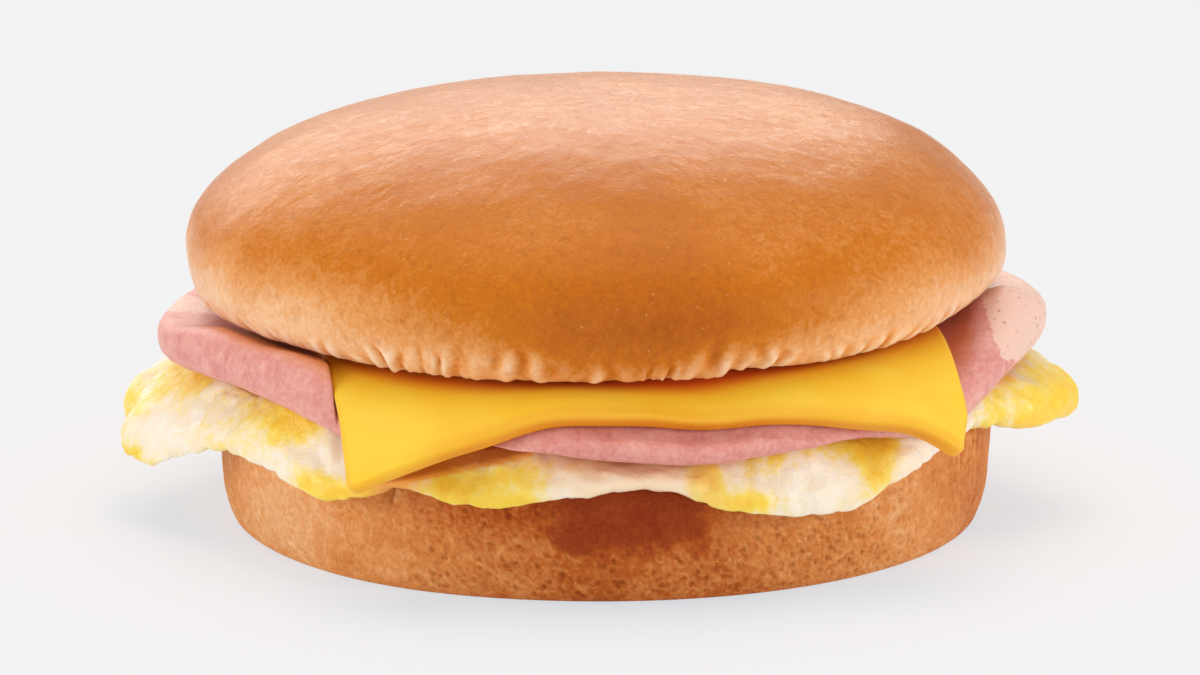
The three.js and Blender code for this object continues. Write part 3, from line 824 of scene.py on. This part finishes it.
def build_ham():
    around = 720
    k = 1.0
    edge = lambda th: 2.5 + 1.5 * bump(th, 281, 26)
    P, r, T, R = slab_grid(ham_radius, ham_top, ham_bottom, edge, around, int(8 * k), int(26 * k), int(20 * k), 0.85,
                           [(228, 9, 2.2), (331, 8, 1.4)])
    N = grid_normals(P)
    N = np.where(N[0, :, 2:3].mean() < 0, -N, N)
    outer = ease((r - 45) / 4.0)
    d = outer * (0.16 * fbm(P, 9.0, 3, 61) + 0.06 * fbm(P, 2.2, 2, 62))
    P = P + N * d[..., None]
    ruffle = outer * 0.28 * fbm(P * [1, 1, 0.3], 10.0, 2, 65)
    P[..., 0] += ruffle * np.cos(T)
    P[..., 1] += ruffle * np.sin(T)
    # painted light: a lighter colour on the faces that catch the light, only the top at the left, most of the rim at
    # the right, and the upward faces at the back
    deg, z = np.degrees(T), P[..., 2]
    left = 0.85 * ease((z - 26.7 - 0.17 * (deg - 190)) / 0.9) * (1 - ease((deg - 203) / 8)) * ease((deg - 165) / 10)
    low = np.maximum(22.6, 25.8 - 0.26 * (deg - 334)) + 0.9 * fbm(P, 6.0, 2, 66)
    right = np.where(deg > 180, ease((z - low + 0.5) / 1.0), ease((60 - deg) / 30))
    right = right * np.where(deg > 270, ease((P[..., 0] - 47.2 - 0.4 * (31 - z)) / 1.4), deg < 180)
    back = ease((deg - 40) / 20) * ease((172 - deg) / 20) * ease((N[..., 2] - 0.35) / 0.5)
    painted_top_light = outer * np.clip(left + right + back, 0, 1)
    # painted shade, brown, where the crust is close above it, lighter and more orange at the left
    painted_crust_shade = 1 - ease((np.hypot(P[..., 0] - CROWN["x"], P[..., 1]) - 49.8) / 4.0)
    painted_crust_shade = painted_crust_shade * outer * ease((z - 22) / 3) * ease((deg - 193) / 12) * (1 - ease((P[..., 0] - 45.6) / 2.6))
    side = ease((deg - 250) / 20)
    ring_object("ham_slice", P, {"painted_top_light": painted_top_light, "painted_crust_shade": painted_crust_shade * side, "painted_crust_shade_left": painted_crust_shade * (1 - side)}, ham_material(), "ham")


# ------------------------------------------------------------------ cheese
def build_cheese():
    c = CHEESE
    half = c["side"] / 2

    def mid_point(u, v):
        # the right front corner is drawn in a little and hangs lower
        near = ease((-v - 30) / 9)
        u, v = u - 1.9 * near * ease((u - 20) / 19), v - 0.6 * near * ease((u - 31) / 8)
        x, y = cheese_plan(u, cheese_drawn(u, v))
        return np.stack([x, y, cheese_mid(x, y)], -1)

    def sheet(u, v, w):
        e = 0.25
        p = mid_point(u, v)
        du = mid_point(u + e, v) - mid_point(u - e, v)
        dv = mid_point(u, v + e) - mid_point(u, v - e)
        n = np.cross(du, dv)
        n /= np.linalg.norm(n, axis=-1, keepdims=True)
        return p + n * w[..., None]

    n = 170
    e = 0.7                                             # rounding of the edges
    g = np.sin(np.linspace(-1, 1, n + 1) * 1.25) / math.sin(1.25) * (half - e)
    U, V = np.meshgrid(g, g, indexing="ij")
    over = np.minimum(np.abs(U), np.abs(V)) - (half - e - c["corner"])
    pull = np.where(over > 0, 1 - 0.29 * np.maximum(over, 0) / np.maximum(np.abs(U), np.abs(V)), 1.0)
    U, V = U * pull, V * pull
    W = np.full_like(U, c["thick"] / 2)
    top = sheet(U, V, W)
    low = sheet(U, V, -W)
    idx = np.arange((n + 1) ** 2).reshape(n + 1, n + 1)
    loop = np.concatenate([idx[:-1, 0], idx[-1, :-1], idx[::-1, -1][:-1], idx[0, ::-1][:-1]])
    bu, bv = U.reshape(-1)[loop], V.reshape(-1)[loop]
    tu = np.roll(bu, -1) - np.roll(bu, 1)
    tv = np.roll(bv, -1) - np.roll(bv, 1)
    ln = np.hypot(tu, tv)
    ou, ov = tv / ln, -tu / ln                          # outwards in the sheet
    t2 = c["thick"] / 2
    rings = []
    wob = 0.16 * noise(np.stack([bu / 6, bv / 6, 0 * bu], -1), 12)
    for i in range(1, 5):
        f = i / 4 * math.pi / 2
        rings.append((e * math.sin(f), t2 - e * (1 - math.cos(f))))
    for w in ((t2 - e) * 0.4, -(t2 - e) * 0.4):
        rings.append((e, w))
    for i in range(0, 4):
        f = i / 4 * math.pi / 2
        rings.append((e * math.cos(f), -(t2 - e) - e * math.sin(f)))
    ring_pts = [sheet(bu + ou * (o + wob * (o / e)), bv + ov * (o + wob * (o / e)), np.full_like(bu, w)) for o, w in rings]
    verts = np.concatenate([top.reshape(-1, 3), low.reshape(-1, 3)] + ring_pts)
    m = (n + 1) ** 2
    L = len(loop)
    quads = [np.stack([idx[:-1, :-1], idx[1:, :-1], idx[1:, 1:], idx[:-1, 1:]], -1).reshape(-1, 4),
             np.stack([idx[:-1, :-1], idx[:-1, 1:], idx[1:, 1:], idx[1:, :-1]], -1).reshape(-1, 4) + m]
    levels = [loop] + [2 * m + i * L + np.arange(L) for i in range(len(rings))] + [loop + m]
    for a, b in zip(levels[:-1], levels[1:]):
        quads.append(np.stack([a, b, np.roll(b, -1), np.roll(a, -1)], -1))
    quads = np.concatenate(quads)
    edge = np.zeros(len(verts))
    # painted shade: the cut edge, which turns partly downward, is darker in colour, most of all along the front
    front = ease((-bv - half + 4) / 3) * ease((bu + half - 5) / 8) * (1 - 0.5 * ease((bu - half + 5) / 4))
    for i, (o, w) in enumerate(rings):
        level = (0.45, 0.6, 0.8, 0.95)[i] if i < 4 else 1.0
        edge[2 * m + i * L: 2 * m + (i + 1) * L] = level * (0.55 + 0.45 * front)
    # painted shade on the top just inside the front edge, where it rounds over
    edge[:m] = (0.42 * ease((-V - half + 2.6) / 2.0) * ease((U + half - 5) / 8)).reshape(-1)
    # painted shade of the crown: darker orange and orange-brown on the cheese close under the crown's rim
    dist, th = cheese_distance(verts[:, 0], verts[:, 1]), np.arctan2(verts[:, 1], verts[:, 0])
    edge = np.maximum(edge, (0.5 + 0.35 * bump(th, 276, 22)) * (1 - ease((dist - 2.6) / 4.0)))
    painted_crust_shade = (1 - ease((dist - 1.3 - 2.0 * bump(th, 250, 22) - 1.5 * bump(th, 282, 17)) / 3.0)) * (0.72 + 0.26 * bump(th, 282, 22))
    dz = 0.10 * fbm(verts, 16.0, 2, 71)
    verts[:, 2] += dz
    make_object("cheese_slice", verts, quads, np.zeros((0, 3), int), {"edge": edge, "painted_crust_shade": painted_crust_shade}, cheese_material(), "cheese")


build_heel()
build_egg()
build_ham()
build_cheese()
build_crown()

# ------------------------------------------------------------------ floor, light and camera
def plain_floor():
    me = bpy.data.meshes.new("floor")
    s = 6.0
    me.from_pydata([(-s, -s, 0), (s, -s, 0), (s, s, 0), (-s, s, 0)], [], [(0, 1, 2, 3)])
    ob = bpy.data.objects.new("floor", me)
    bpy.context.scene.collection.objects.link(ob)
    m = Nodes("floor_white")
    # part of its white is its own light, which keeps the shadow as pale and neutral as on a lit sweep
    own, lit = (0.56, 0.36, 0.29), 0.80
    m.set(Base_Color=(*own, 1.0), Roughness=1.0, IOR=1.05)
    m.bsdf.inputs["Emission Color"].default_value = (*[0.896 - a * lit for a in own], 1)
    m.bsdf.inputs["Emission Strength"].default_value = 1.0
    me.materials.append(m.mat)


def area(name, at, aim, size, power, color=(1, 1, 1), size_y=None):
    l = bpy.data.lights.new(name, "AREA")
    l.shape = "RECTANGLE"
    l.size = size
    l.size_y = size_y or size
    l.energy = power
    l.color = color
    ob = bpy.data.objects.new(name, l)
    ob.location = at
    ob.rotation_euler = (Vector(aim) - Vector(at)).to_track_quat("-Z", "Y").to_euler()
    bpy.context.scene.collection.objects.link(ob)
    return ob


plain_floor()
world = bpy.data.worlds.new("studio")
world.use_nodes = True
world.node_tree.nodes["Background"].inputs["Color"].default_value = (1, 1, 1, 1)
world.node_tree.nodes["Background"].inputs["Strength"].default_value = 0.42
bpy.context.scene.world = world

food = bpy.data.collections.new("food")
for ob in bpy.context.scene.objects:
    if ob.type == "MESH" and ob.name != "floor":
        food.objects.link(ob)

area("top_soft", (0.0, 0.1, 1.4), (0, 0, 0.03), 1.4, 9.5)
for light in (
        area("back_soft", (-0.33, 1.3, 0.60), (0, 0, 0.04), 1.3, 7.5, (1.0, 0.975, 0.92), size_y=0.70),
        area("front_soft", (0.0, -1.5, 0.45), (0, 0, 0.03), 1.4, 3.0, size_y=0.8),
        area("side_left", (-1.1, -0.40, 0.30), (0, 0, 0.03), 0.7, 5.6),
        area("side_right", (1.15, -0.38, 0.30), (0, 0, 0.03), 0.7, 6.3)):
    light.light_linking.receiver_collection = food

# The camera stands off by DIST and looks down by ELEV. PX_MM is pixels a millimetre at the middle.
DIST, ELEV, PX_MM, AIM_Z = 1200.0, math.radians(13.5), 7.84, 27.0
ROW = 506.5 - PX_MM * AIM_Z * math.cos(ELEV)            # picture row on which the aim point falls
cam = bpy.data.cameras.new("camera")
cam.sensor_fit = "HORIZONTAL"
cam.sensor_width = 36.0
cam.lens = 36.0 * PX_MM * DIST / 1200.0
cam.shift_y = (ROW - 337.5) / 1200.0
cam.clip_start = 0.05
cam.clip_end = 50.0
cob = bpy.data.objects.new("camera", cam)
cob.location = (0.0, -DIST * math.cos(ELEV) * 0.001, (AIM_Z + DIST * math.sin(ELEV)) * 0.001)
cob.rotation_euler = (math.pi / 2 - ELEV, 0.0, 0.0)
bpy.context.scene.collection.objects.link(cob)
bpy.context.scene.camera = cob

vs = bpy.context.scene.view_settings
vs.view_transform = "Standard"
vs.look = "None"
vs.exposure = 0.0
vs.gamma = 1.0

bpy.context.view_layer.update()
